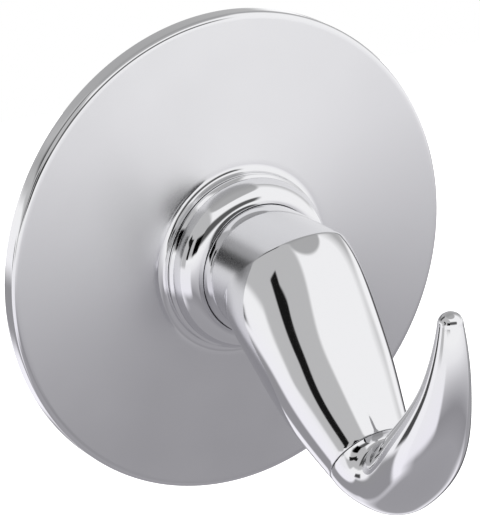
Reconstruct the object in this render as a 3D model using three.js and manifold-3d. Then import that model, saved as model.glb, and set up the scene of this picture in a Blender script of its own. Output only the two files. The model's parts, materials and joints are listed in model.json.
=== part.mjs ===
// Chrome-plated wall hook for a hand shower, fixed to the wall by a hidden bracket.
//
// Frame: the wall is the plane y = 0, the room lies towards -Y and +Z is up. The origin is the middle
// of the bracket's back face. "out" is the distance from the wall, so y = -out, and the hook lies in
// the plane x = 0. All sizes are in millimetres and all angles in degrees.

import * as THREE from "three";
import { mergeVertices } from "three/addons/utils/BufferGeometryUtils.js";
import Module from "manifold-3d";

const wasm = await Module();
wasm.setup();

// Gaps between pieces that touch, turn or slide on each other
const SEAT_GAP = 0.3;
const SLIDE_GAP = 0.2;
const TURN_GAP = 0.25;

// Rosette: a spun brass cover with a turned-down rim and a shallow cone that rises to a lip
const ROSETTE_RADIUS = 35;
const SHEET = 1;
const RIM_STANDOFF = 0.4;
const RIM_DEPTH = 2.8;
const RIM_ROUND = 0.7;
const CONE_RISE = 2.3;
const LIP_RISE = 1;
const LIP_FLARE = 1.3;

// Collar: a turned bead ring that is fixed in the rosette's lip and slides on the hook's neck
const COLLAR_WALL = 3.1;
const COLLAR_BAND = 0.75;
const COLLAR_STEP = 0.35;
const COLLAR_DOME = 3.35;
const COLLAR_NOSE = 0.15;
const SPIGOT_WALL = 1.8;
const SPIGOT_LENGTH = 1.3;

// Seals
const O_RING_SECTION = 1;
const O_RING_SETBACK = 3.25;
const SEAL_WIDTH = 2.4;

// Wall bracket: a steel disc with a welded post for the hook
const PLATE_RADIUS = 22;
const PLATE_THICKNESS = 2.6;
const POST_RADIUS = 5;
const POST_NOSE = 3.6;
const POST_CHAMFER = 0.8;
const GROOVE_DEPTH = 1;
const SCREW_SPACING = 31;
const PLUG_RELIEF_DEPTH = 0.4;

// Fixings
const SCREW_RADIUS = 1.75;
const SCREW_HEAD_RADIUS = 3.5;
const SCREW_LENGTH = 30;
const SCREW_POINT = 4;
const SCREW_HOLE_GAP = 0.3;
const PLUG_RADIUS = 3;
const PLUG_LENGTH = 28;
const PLUG_SLIT = 1;
const PLUG_COLLAR = 7;
const GRUB_RADIUS = 1.5;
const GRUB_SOCKET_FLATS = 1.5;
const GRUB_SOCKET_DEPTH = 1.6;
const STUD_RADIUS = 2.5;
const STUD_IN_ARM = 8;
const STUD_IN_TIP = 4;

// Hook arm: a round neck that folds into a drooping, tapering arm. The fold runs steeply across the
// neck's top and turns down along its sides, each line meeting the axis at its own place.
const NECK_RADIUS = 9.4;
const FOLD_AHEAD = 3.05;
const FOLD_TILT = 50;
const FOLD_SIDE_AHEAD = 5.5;
const FOLD_SIDE_TILT = 14;
const FOLD_EASE = 2;
const FLANK_LENGTH = 12;
const FLANK_SWELL = 0.3;
const GRUB_AHEAD = 1.9;
const ELBOW_AHEAD = 8.95;
const ELBOW_DROP = 50.5;
const ARM_START_RADIUS = 9.3;
const ARM_LENGTH = 26.9;
const ARM_LIFT = 15.3;
const ARM_MIDDLE_RADIUS = 8.85;
const SEAM_RADIUS = 6.2;

// Hook tip: a bend that tapers into an upturned horn
const BEND_LENGTH = 9;
const BEND_TURN = 76.3;
const BEND_RADIUS = 5.2;
const HORN_LENGTH = 27;
const HORN_TURN = 54.4;
const HORN_LOWER_RADIUS = 5.25;
const HORN_UPPER_RADIUS = 3.3;
const HORN_TIP_RADIUS = 1.75;
const HORN_FLATNESS = 0.98;

// Faces round and along the curved surfaces
const COVER_SIDES = 72;
const RING_SIDES = 48;
const ROUND_SIDES = 32;
const FIXING_SIDES = 24;
const CURVE_STEPS = 5;
const FLANK_STEPS = 7;
const ARM_STEPS = 7;
const TIP_STEPS = 18;

// Places that follow from the sizes above
const rimFront = RIM_STANDOFF + RIM_DEPTH;
const lipFoot = rimFront + CONE_RISE;
const lipTop = lipFoot + LIP_RISE;
const collarBore = NECK_RADIUS + SLIDE_GAP;
const collarRadius = collarBore + COLLAR_WALL;
const collarBack = lipTop + SEAT_GAP;
const collarFront = collarBack + COLLAR_BAND + COLLAR_DOME;
const spigotRadius = collarBore + SPIGOT_WALL;
const lipHole = spigotRadius + SEAT_GAP;
const neckBack = PLATE_THICKNESS + SEAT_GAP;
const elbowTurn = -THREE.MathUtils.degToRad(ELBOW_DROP);
const elbowOut = collarFront + ELBOW_AHEAD;
const grubOut = collarFront + GRUB_AHEAD;
const postEnd = grubOut + POST_NOSE;
const postBore = POST_RADIUS + TURN_GAP;
const screwHole = SCREW_RADIUS + SCREW_HOLE_GAP;
const plugRelief = PLUG_RADIUS + SEAT_GAP;

const CHROME = { color: 0xd9dade, metalness: 1, roughness: 0.06 };
const STEEL = { color: 0xb7b5ae, metalness: 1, roughness: 0.35 };
const STAINLESS = { color: 0xc4c6c8, metalness: 1, roughness: 0.28 };
const RUBBER = { color: 0x1c1c1e, metalness: 0, roughness: 0.8 };
const NYLON = { color: 0xa9abad, metalness: 0, roughness: 0.55 };

// Solids

function solidFrom(geometry) {
  const bare = geometry.clone();
  bare.deleteAttribute("normal");
  bare.deleteAttribute("uv");
  const merged = mergeVertices(bare, 1e-4);
  const index = merged.index.array;
  const faces = [];
  for (let i = 0; i < index.length; i += 3) {
    const [a, b, c] = index.subarray(i, i + 3);
    if (a !== b && b !== c && c !== a) faces.push(a, b, c);
  }
  const vertProperties = new Float32Array(merged.attributes.position.array);
  return new wasm.Manifold(new wasm.Mesh({ numProp: 3, vertProperties, triVerts: new Uint32Array(faces) }));
}

function geometryFrom(solid) {
  const mesh = solid.getMesh();
  const geometry = new THREE.BufferGeometry();
  geometry.setAttribute("position", new THREE.BufferAttribute(new Float32Array(mesh.vertProperties), 3));
  geometry.setIndex(new THREE.BufferAttribute(new Uint32Array(mesh.triVerts), 1));
  geometry.computeVertexNormals();
  return geometry;
}

function cut(geometry, ...tools) {
  let solid = solidFrom(geometry);
  for (const tool of tools) solid = solid.subtract(solidFrom(tool));
  return geometryFrom(solid);
}

// A turned solid about the hook's axis. The outline runs anticlockwise in (radius, out).
function turned(path, sides) {
  const points = path.getPoints(CURVE_STEPS);
  const outline = points.filter((point, i) => i === 0 || point.distanceTo(points[i - 1]) > 1e-6);
  return new THREE.LatheGeometry(outline, sides).rotateX(Math.PI);
}

function outlineOf(...corners) {
  const path = new THREE.Path();
  path.moveTo(...corners[0]);
  for (const corner of corners.slice(1)) path.lineTo(...corner);
  return path;
}

function rod(radius, from, to, sides) {
  return turned(outlineOf([0, from], [radius, from], [radius, to], [0, to]), sides);
}

// Skins a row of rings, each an array of as many points, and closes both ends.
function loft(rings) {
  const sides = rings[0].length;
  const points = rings.flat();
  const faces = [];
  const at = (i, j) => i * sides + (j % sides);
  for (let i = 0; i + 1 < rings.length; i += 1) {
    for (let j = 0; j < sides; j += 1) {
      faces.push(at(i, j), at(i, j + 1), at(i + 1, j));
      faces.push(at(i, j + 1), at(i + 1, j + 1), at(i + 1, j));
    }
  }
  const last = rings.length - 1;
  const start = points.push(middle(rings[0])) - 1;
  const end = points.push(middle(rings[last])) - 1;
  for (let j = 0; j < sides; j += 1) {
    faces.push(start, at(0, j + 1), at(0, j));
    faces.push(end, at(last, j), at(last, j + 1));
  }
  const geometry = new THREE.BufferGeometry().setFromPoints(points);
  geometry.setIndex(faces);
  geometry.computeVertexNormals();
  return geometry;
}

function middle(ring) {
  const sum = ring.reduce((total, point) => total.add(point), new THREE.Vector3());
  return sum.divideScalar(ring.length);
}

// The hook's middle line, a row of circular bends in the plane x = 0

const bends = [
  { turn: THREE.MathUtils.degToRad(ARM_LIFT), length: ARM_LENGTH },
  { turn: THREE.MathUtils.degToRad(BEND_TURN), length: BEND_LENGTH },
  { turn: THREE.MathUtils.degToRad(HORN_TURN), length: HORN_LENGTH },
];

// The place and heading at a distance along the middle line, counted from the elbow
function along(distance) {
  let out = elbowOut;
  let up = 0;
  let heading = elbowTurn;
  let left = distance;
  for (const bend of bends) {
    const run = bend === bends.at(-1) ? left : Math.min(left, bend.length);
    const next = heading + (bend.turn * run) / bend.length;
    const radius = bend.length / bend.turn;
    out += radius * (Math.sin(next) - Math.sin(heading));
    up += radius * (Math.cos(heading) - Math.cos(next));
    heading = next;
    left -= run;
    if (left <= 0) break;
  }
  return { out, up, heading };
}

const tipEnd = ARM_LENGTH + BEND_LENGTH + HORN_LENGTH;
const girth = [
  [0, ARM_START_RADIUS],
  [ARM_LENGTH / 2, ARM_MIDDLE_RADIUS],
  [ARM_LENGTH, SEAM_RADIUS],
  [ARM_LENGTH + BEND_LENGTH / 2, BEND_RADIUS],
  [ARM_LENGTH + BEND_LENGTH + HORN_LENGTH / 4, HORN_LOWER_RADIUS],
  [ARM_LENGTH + BEND_LENGTH + (HORN_LENGTH * 2) / 3, HORN_UPPER_RADIUS],
  [tipEnd, HORN_TIP_RADIUS],
];

// A smooth curve through rows of [distance, value]
function smooth(rows, distance) {
  const last = rows.length - 1;
  const i = Math.min(Math.max(rows.findIndex((row) => row[0] > distance) - 1, 0), last - 1);
  const k = distance >= rows[last][0] ? last - 1 : i;
  const slope = (a, b) => (rows[b][1] - rows[a][1]) / (rows[b][0] - rows[a][0]);
  const span = rows[k + 1][0] - rows[k][0];
  const t = (distance - rows[k][0]) / span;
  const before = slope(Math.max(k - 1, 0), k + 1) * span;
  const after = slope(k, Math.min(k + 2, last)) * span;
  const [from, to] = [rows[k][1], rows[k + 1][1]];
  return (
    from * (2 * t ** 3 - 3 * t ** 2 + 1) + before * (t ** 3 - 2 * t ** 2 + t) +
    to * (3 * t ** 2 - 2 * t ** 3) + after * (t ** 3 - t ** 2)
  );
}

const angles = Array.from({ length: ROUND_SIDES }, (_, i) => (i / ROUND_SIDES) * 2 * Math.PI);

// A ring square to a heading, half as wide as "width" along X and "depth" in the hook's plane
function ring(place, width, depth = width) {
  const { out, up, heading } = place;
  return angles.map((angle) => {
    const lift = depth * Math.sin(angle);
    return new THREE.Vector3(
      width * Math.cos(angle),
      -(out - Math.sin(heading) * lift),
      up + Math.cos(heading) * lift,
    );
  });
}

function neckRing(out) {
  return ring({ out, up: 0, heading: 0 }, NECK_RADIUS);
}

function armRing(distance) {
  return ring(along(distance), smooth(girth, distance));
}

// The fold on the neck: its two lines, eased into each other
function foldRing() {
  const rise = Math.tan(THREE.MathUtils.degToRad(FOLD_TILT));
  const sideRise = Math.tan(THREE.MathUtils.degToRad(FOLD_SIDE_TILT));
  return neckRing(0).map((point) => {
    const top = collarFront + FOLD_AHEAD + point.z * rise;
    const side = collarFront + FOLD_SIDE_AHEAD + point.z * sideRise;
    return point.setY(-(top + side + Math.hypot(top - side, FOLD_EASE)) / 2);
  });
}

// The flanks between the fold and the round arm. Above, they leave the fold along the arm and swell a
// little; below, they leave it along the neck. All run into the arm's surface without an edge.
function flankRings() {
  const start = foldRing();
  const end = armRing(FLANK_LENGTH);
  const beyond = armRing(FLANK_LENGTH + 0.1);
  const swell = ring({ out: 0, up: 0, heading: elbowTurn }, FLANK_SWELL);
  const neckWay = new THREE.Vector3(0, -1, 0);
  const armWay = new THREE.Vector3(0, -Math.cos(elbowTurn), Math.sin(elbowTurn));
  const lines = start.map((from, j) => {
    const to = end[j];
    const handle = from.distanceTo(to) / 3;
    const under = Math.max(-Math.sin(angles[j]), 0);
    const leaving = armWay.clone().add(swell[j]).lerp(neckWay, under).setLength(handle);
    const meeting = beyond[j].clone().sub(to).setLength(handle);
    return new THREE.CubicBezierCurve3(from, leaving.add(from), to.clone().sub(meeting), to);
  });
  const rings = [];
  for (let i = 0; i < FLANK_STEPS; i += 1) rings.push(lines.map((line) => line.getPoint(i / FLANK_STEPS)));
  return rings;
}

// The neck, the flanks and the round arm as far as the seam
function hookRings() {
  const rings = [neckRing(neckBack), neckRing(collarFront), ...flankRings()];
  for (let i = 0; i <= ARM_STEPS; i += 1) {
    rings.push(armRing(THREE.MathUtils.lerp(FLANK_LENGTH, ARM_LENGTH, i / ARM_STEPS)));
  }
  return rings;
}

function tipRings() {
  const start = ARM_LENGTH + SEAT_GAP;
  const rings = [];
  for (let i = 0; i <= TIP_STEPS; i += 1) {
    const distance = start + (i / TIP_STEPS) * (tipEnd - start);
    const flat = THREE.MathUtils.smoothstep(distance, ARM_LENGTH, ARM_LENGTH + BEND_LENGTH);
    const width = smooth(girth, distance);
    rings.push(ring(along(distance), width, width * THREE.MathUtils.lerp(1, HORN_FLATNESS, flat)));
  }
  for (const turn of [30, 55, 75]) {
    const angle = THREE.MathUtils.degToRad(turn);
    const width = HORN_TIP_RADIUS * Math.cos(angle);
    rings.push(ring(along(tipEnd + HORN_TIP_RADIUS * Math.sin(angle)), width, width * HORN_FLATNESS));
  }
  return rings;
}

// Moves a solid made about the hook's axis, with its front at out = 0, to the seam and along the arm
function toSeam(geometry) {
  const { out, up, heading } = along(ARM_LENGTH + SEAT_GAP / 2);
  return geometry.rotateX(-heading).translate(0, -out, up);
}

// Moves a solid made about the hook's axis, pointing out, to the grub screw's place under the neck
function toGrub(geometry) {
  return geometry.rotateX(Math.PI / 2).translate(0, -grubOut, 0);
}

// Pieces

function rosetteShell() {
  const lipRadius = collarRadius;
  const foot = lipRadius + LIP_FLARE;
  const inside = ROSETTE_RADIUS - SHEET;
  const path = new THREE.Path();
  path.moveTo(ROSETTE_RADIUS, RIM_STANDOFF);
  path.lineTo(ROSETTE_RADIUS, rimFront - RIM_ROUND);
  path.absarc(ROSETTE_RADIUS - RIM_ROUND, rimFront - RIM_ROUND, RIM_ROUND, 0, Math.PI / 2, false);
  path.lineTo(foot, lipFoot);
  path.quadraticCurveTo(lipRadius, lipFoot, lipRadius, lipTop);
  path.lineTo(lipHole, lipTop);
  path.lineTo(lipHole, lipTop - SHEET);
  path.lineTo(lipRadius - SHEET / 2, lipTop - SHEET);
  path.lineTo(foot - SHEET / 2, lipFoot - SHEET);
  path.lineTo(inside, rimFront - SHEET);
  path.lineTo(inside, RIM_STANDOFF);
  path.lineTo(ROSETTE_RADIUS, RIM_STANDOFF);
  return turned(path, COVER_SIDES);
}

function collarRing() {
  const domeFoot = collarBack + COLLAR_BAND;
  const domeRadius = collarRadius - COLLAR_STEP;
  const nose = collarBore + COLLAR_NOSE;
  const grooveBottom = NECK_RADIUS + SLIDE_GAP + O_RING_SECTION + SLIDE_GAP;
  const grooveHalf = O_RING_SECTION / 2 + SLIDE_GAP;
  const grooveMiddle = collarFront - O_RING_SETBACK;
  const path = new THREE.Path();
  path.moveTo(collarBore, collarBack - SPIGOT_LENGTH);
  path.lineTo(spigotRadius, collarBack - SPIGOT_LENGTH);
  path.lineTo(spigotRadius, collarBack);
  path.lineTo(collarRadius, collarBack);
  path.lineTo(collarRadius, domeFoot - COLLAR_STEP);
  path.lineTo(domeRadius, domeFoot);
  path.absellipse(nose, domeFoot, domeRadius - nose, COLLAR_DOME, 0, Math.PI / 2, false, 0);
  path.lineTo(collarBore, collarFront);
  path.lineTo(collarBore, grooveMiddle + grooveHalf);
  path.lineTo(grooveBottom, grooveMiddle + grooveHalf);
  path.lineTo(grooveBottom, grooveMiddle - grooveHalf);
  path.lineTo(collarBore, grooveMiddle - grooveHalf);
  path.lineTo(collarBore, collarBack - SPIGOT_LENGTH);
  return turned(path, RING_SIDES);
}

function oRing() {
  const half = O_RING_SECTION / 2;
  const path = new THREE.Path();
  path.absarc(NECK_RADIUS + SLIDE_GAP + half, collarFront - O_RING_SETBACK, half, 0, 2 * Math.PI, false);
  return turned(path, RING_SIDES);
}

function wallSeal() {
  const outer = ROSETTE_RADIUS - SHEET - SEAT_GAP;
  const inner = outer - SEAL_WIDTH;
  const top = rimFront - SHEET - SEAT_GAP;
  return turned(outlineOf([inner, 0], [outer, 0], [outer, top], [inner, top], [inner, 0]), COVER_SIDES);
}

function wallBracket() {
  const body = outlineOf(
    [0, 0], [PLATE_RADIUS, 0], [PLATE_RADIUS, PLATE_THICKNESS], [POST_RADIUS, PLATE_THICKNESS],
    [POST_RADIUS, grubOut - GROOVE_DEPTH], [POST_RADIUS - GROOVE_DEPTH, grubOut],
    [POST_RADIUS, grubOut + GROOVE_DEPTH], [POST_RADIUS, postEnd - POST_CHAMFER],
    [POST_RADIUS - POST_CHAMFER, postEnd], [0, postEnd],
  );
  const headRoom = SCREW_HEAD_RADIUS + SCREW_HOLE_GAP;
  const past = 1;
  const hole = outlineOf(
    [0, -past], [plugRelief, -past], [plugRelief, PLUG_RELIEF_DEPTH], [screwHole, PLUG_RELIEF_DEPTH],
    [screwHole, PLATE_THICKNESS - headRoom + screwHole], [headRoom, PLATE_THICKNESS],
    [headRoom, PLATE_THICKNESS + past], [0, PLATE_THICKNESS + past],
  );
  const places = [SCREW_SPACING / 2, -SCREW_SPACING / 2];
  const holes = places.map((up) => turned(hole, FIXING_SIDES).translate(0, 0, up));
  return cut(turned(body, ROUND_SIDES), ...holes);
}

function wallScrew() {
  const head = PLATE_THICKNESS;
  const neck = head - SCREW_HEAD_RADIUS + SCREW_RADIUS;
  const point = head - SCREW_LENGTH;
  const body = outlineOf(
    [0, point], [SCREW_RADIUS, point + SCREW_POINT], [SCREW_RADIUS, neck], [SCREW_HEAD_RADIUS, head], [0, head],
  );
  return turned(body, FIXING_SIDES);
}

function wallPlug() {
  const bore = SCREW_RADIUS + SLIDE_GAP;
  const body = outlineOf(
    [bore, -PLUG_LENGTH], [PLUG_RADIUS, -PLUG_LENGTH], [PLUG_RADIUS, 0], [bore, 0], [bore, -PLUG_LENGTH],
  );
  const past = 1;
  const slitLength = PLUG_LENGTH - PLUG_COLLAR + past;
  const slit = new THREE.BoxGeometry(2 * (PLUG_RADIUS + past), slitLength, PLUG_SLIT);
  slit.translate(0, PLUG_COLLAR + slitLength / 2, 0);
  return cut(turned(body, FIXING_SIDES), slit);
}

function hookArm() {
  const body = loft(hookRings());
  const past = 1;
  const bore = rod(postBore, neckBack - past, postEnd + SEAT_GAP, ROUND_SIDES);
  const grubHole = toGrub(rod(GRUB_RADIUS + SLIDE_GAP, 0, NECK_RADIUS + 3 * past, FIXING_SIDES));
  const studHole = toSeam(rod(STUD_RADIUS + SLIDE_GAP, -STUD_IN_ARM - SEAT_GAP, past, FIXING_SIDES));
  return cut(body, bore, grubHole, studHole);
}

function grubScrew() {
  const seat = POST_RADIUS - GROOVE_DEPTH + SEAT_GAP;
  const shoulder = seat + GRUB_RADIUS;
  const end = NECK_RADIUS - GRUB_RADIUS;
  const body = outlineOf([0, seat], [GRUB_RADIUS, shoulder], [GRUB_RADIUS, end], [0, end]);
  const past = 1;
  const socketRadius = GRUB_SOCKET_FLATS / Math.sqrt(3);
  const socket = rod(socketRadius, end - GRUB_SOCKET_DEPTH, end + past, 6);
  return toGrub(cut(turned(body, FIXING_SIDES), socket));
}

function joiningStud() {
  return toSeam(rod(STUD_RADIUS, -STUD_IN_ARM, STUD_IN_TIP, FIXING_SIDES));
}

function hookTip() {
  const past = 1;
  const studHole = toSeam(rod(STUD_RADIUS + SLIDE_GAP, -past, STUD_IN_TIP + SEAT_GAP, FIXING_SIDES));
  return cut(loft(tipRings()), studHole);
}

// Assembly

function piece(name, geometry, finish) {
  const mesh = new THREE.Mesh(geometry, new THREE.MeshStandardMaterial(finish));
  mesh.name = name;
  return mesh;
}

const wallFixing = new THREE.Group();
wallFixing.add(piece("wall_bracket", wallBracket(), STEEL));
for (const [end, side] of [["upper", 1], ["lower", -1]]) {
  const fixing = new THREE.Group();
  fixing.position.z = (side * SCREW_SPACING) / 2;
  fixing.add(piece(`wall_screw_${end}`, wallScrew(), STAINLESS));
  fixing.add(piece(`wall_plug_${end}`, wallPlug(), NYLON));
  wallFixing.add(fixing);
}

const hook = new THREE.Group();
hook.add(piece("hook_arm", hookArm(), CHROME));
hook.add(piece("grub_screw", grubScrew(), STAINLESS));
hook.add(piece("joining_stud", joiningStud(), STAINLESS));
hook.add(piece("hook_tip", hookTip(), CHROME));

const rosette = new THREE.Group();
rosette.add(piece("rosette", rosetteShell(), CHROME));
rosette.add(piece("collar_ring", collarRing(), CHROME));
rosette.add(piece("rosette_o_ring", oRing(), RUBBER));
rosette.add(piece("wall_seal", wallSeal(), RUBBER));

const wallHook = new THREE.Group();
wallHook.add(wallFixing, hook, rosette);

export default wallHook;
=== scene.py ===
"""Looks of a chrome wall hook for a hand shower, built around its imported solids.

The wall is the plane y = 0, the room lies towards -Y and +Z is up. "out" is the distance from the wall,
so y = -out, and the hook lies in the plane x = 0. All sizes are in metres.
"""

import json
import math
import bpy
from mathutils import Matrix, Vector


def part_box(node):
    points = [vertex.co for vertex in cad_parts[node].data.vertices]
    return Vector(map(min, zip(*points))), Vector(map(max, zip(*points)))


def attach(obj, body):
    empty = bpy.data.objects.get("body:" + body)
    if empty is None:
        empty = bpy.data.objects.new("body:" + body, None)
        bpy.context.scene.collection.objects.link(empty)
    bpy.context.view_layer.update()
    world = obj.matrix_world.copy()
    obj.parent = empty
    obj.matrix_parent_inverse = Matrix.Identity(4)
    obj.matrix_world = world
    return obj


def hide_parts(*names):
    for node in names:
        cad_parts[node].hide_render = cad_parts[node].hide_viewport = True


bl_info = {
    "name": "Wall Hook for a Hand Shower",
    "version": (1, 0, 0),
    "blender": (4, 5, 0),
    "location": "View3D > Sidebar > Wall Hook",
    "description": "Builds the chrome wall hook, its hidden fixings and a plain studio",
    "category": "Object",
}

from functools import partial

import bpy
import numpy as np
from bpy.props import FloatProperty, PointerProperty, StringProperty
from bpy.types import Operator, Panel, PropertyGroup
from mathutils import Matrix, Vector

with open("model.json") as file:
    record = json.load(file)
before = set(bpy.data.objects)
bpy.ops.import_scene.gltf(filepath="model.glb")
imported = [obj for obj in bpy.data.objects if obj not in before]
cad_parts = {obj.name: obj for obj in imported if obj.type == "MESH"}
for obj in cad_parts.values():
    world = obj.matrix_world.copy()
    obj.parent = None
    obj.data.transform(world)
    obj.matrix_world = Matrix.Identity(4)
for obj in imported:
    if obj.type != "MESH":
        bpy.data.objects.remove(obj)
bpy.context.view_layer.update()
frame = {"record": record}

MM = 0.001
COVER_SIDES = 288
HOOK_SIDES = 160
FIXING_SIDES = 40
NECK_RINGS = 9
FOLD_RINGS = 15
FLANK_RINGS = 33
ARM_RINGS = 36
HORN_RINGS = 130
HOLLOW_STEPS = 13
CURVE_STEPS = 25
THREAD_STEPS = 9
BARB_STEPS = 10
LONGEST_RUN = 0.5 * MM
SHORTEST_RUN = 1e-7
ARC_STEP = math.radians(9)
TIP_ANGLES = np.radians(np.arange(6, 90, 6))
SHARP_ANGLE = math.radians(25)

# How often the arm's rings are eased, and the ring from which they are eased in full
POLISH_ROUNDS = 60
POLISH_START = 24

# Turns a rod that points out into one that points down
GRUB_TURN = ((1, 0, 0), (0, 0, 1), (0, -1, 0))

# The two wall screws and their plugs, in parts of their spacing
ENDS = (("upper", 0.5), ("lower", -0.5))

BOX_FACES = ((0, 1, 2, 3), (7, 6, 5, 4), (0, 4, 5, 1), (1, 5, 6, 2), (2, 6, 7, 3), (3, 7, 4, 0))

BODY_OF = {
    node: body
    for body, nodes in frame["record"]["behaviour"]["bodies"].items()
    for node in nodes
}


def out_range(node):
    """How near and how far a solid reaches from the wall."""
    low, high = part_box(node)
    return -high.y, -low.y


ROSETTE_BACK, ROSETTE_FRONT = out_range("rosette")
COLLAR_BACK, COLLAR_FRONT = out_range("collar_ring")
POST_END = out_range("wall_bracket")[1]
SEAL_TOP = out_range("wall_seal")[1]
SCREW_POINT, SCREW_HEAD = out_range("wall_screw_upper")
ARM_BACK = out_range("hook_arm")[0]
GRUB_OUT = sum(out_range("grub_screw")) / 2


# Settings


def length(name, description, default):
    return FloatProperty(name=name, description=description, default=default, unit="LENGTH", precision=5)


def turn(name, description, degrees):
    return FloatProperty(name=name, description=description, default=math.radians(degrees), subtype="ANGLE")


def share(name, description, default):
    return FloatProperty(name=name, description=description, default=default, subtype="FACTOR")


def colour(name, description, code):
    return StringProperty(name=name, description=f"{description}, as an sRGB hex value", default=code)


class RosetteSizes(PropertyGroup):
    """The spun cover with its turned rim and its lip"""

    radius: length("Radius", "Outside of the rim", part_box("rosette")[1].x)
    sheet: length("Sheet", "Thickness of the spun brass", 1 * MM)
    rim_depth: length("Rim depth", "From the rim's edge to the foot of the cone", 2.8 * MM)
    rim_round: length("Rim round", "Rounding between rim and cone", 0.7 * MM)
    lip_rise: length("Lip rise", "Height of the lip over the cone", 1 * MM)
    lip_flare: length("Lip flare", "Width of the hollow at the lip's foot", 1.3 * MM)
    lip_hollow: share("Lip hollow", "Part of the lip's rise that the hollow takes", 0.84)
    lip_hole: length("Lip hole", "Radius of the hole that takes the collar", 11.7 * MM)
    edge: length("Edge", "Rounding of the cut edges", 0.15 * MM)


class CollarSizes(PropertyGroup):
    """The turned bead ring in the rosette's lip"""

    radius: length("Radius", "Outside of the band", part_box("collar_ring")[1].x)
    bore: length("Bore", "Radius that slides on the neck", 9.46 * MM)
    spigot_radius: length("Spigot radius", "Radius that sits in the lip's hole", 11.4 * MM)
    spigot: length("Spigot length", "Length behind the band", 1.3 * MM)
    band: length("Band", "Width of the band at the dome's foot", 0.75 * MM)
    step: length("Step", "Height of the step between band and dome", 0.35 * MM)
    nose: length("Nose", "Width of the flat at the dome's front", 0.15 * MM)
    groove: length("Groove", "Half width of the O-ring's groove", 0.7 * MM)
    groove_depth: length("Groove depth", "Depth of the O-ring's groove past the bore", 1.34 * MM)
    groove_back: length("Groove setback", "From the front to the middle of the groove", 3.25 * MM)
    edge: length("Edge", "Rounding of the turned edges", 0.12 * MM)


class HookSizes(PropertyGroup):
    """The cast arm and its horn, which follow one bent middle line"""

    neck_radius: length("Neck radius", "Radius of the round neck", 9.4 * MM)
    fold_ahead: length("Fold ahead", "Collar's front to the fold's top line, on the axis", 3.05 * MM)
    fold_tilt: turn("Fold tilt", "Lean of the fold across the neck's top", 50)
    side_ahead: length("Fold side ahead", "Collar's front to the fold's side line, on the axis", 5.5 * MM)
    side_tilt: turn("Fold side tilt", "Lean of the fold down the neck's sides", 14)
    fold_ease: length("Fold ease", "How softly the fold's two lines meet", 2 * MM)
    fold_edge: length("Fold edge", "How far back the fold's edge is polished off", 0.25 * MM)
    flank_length: length("Flank length", "Middle line from the elbow to the end of the flanks", 12 * MM)
    flank_swell: share("Flank swell", "Outward lean of the flanks at the fold", 0.3)
    elbow_ahead: length("Elbow ahead", "From the collar's front to where the middle lines meet", 8.95 * MM)
    elbow_drop: turn("Elbow drop", "How far the elbow turns down", 50.5)
    arm_start: length("Arm start radius", "Radius that the arm's taper starts from at the elbow", 9.3 * MM)
    arm_length: length("Arm length", "Middle line from the elbow to the seam", 26.9 * MM)
    arm_lift: turn("Arm lift", "How far the arm rises again", 15.3)
    arm_radius: length("Arm radius", "Radius half way along the arm", 8.85 * MM)
    seam_radius: length("Seam radius", "Radius at the seam", 6.2 * MM)
    seam_gap: length("Seam gap", "Width of the seam", 0.12 * MM)
    seam_edge: length("Seam edge", "Rounding of the two edges at the seam", 0.12 * MM)
    bend_length: length("Bend length", "Middle line of the bend", 9 * MM)
    bend_turn: turn("Bend turn", "How far the bend turns up", 76.3)
    bend_radius: length("Bend radius", "Radius half way round the bend", 5.2 * MM)
    horn_length: length("Horn length", "Middle line of the horn", 27 * MM)
    horn_turn: turn("Horn turn", "How far the horn curls back", 54.4)
    horn_lower: length("Lower horn radius", "Radius a quarter up the horn", 5.25 * MM)
    horn_upper: length("Upper horn radius", "Radius two thirds up the horn", 3.3 * MM)
    horn_tip: length("Horn tip radius", "Radius of the rounded tip", 1.75 * MM)
    horn_flatness: share("Horn flatness", "Depth of the horn against its width", 0.98)
    bore: length("Bore", "Radius of the bore for the post", 5.25 * MM)
    bore_end: length("Bore end", "From the post's end to the end of the bore", 0.3 * MM)


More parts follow.
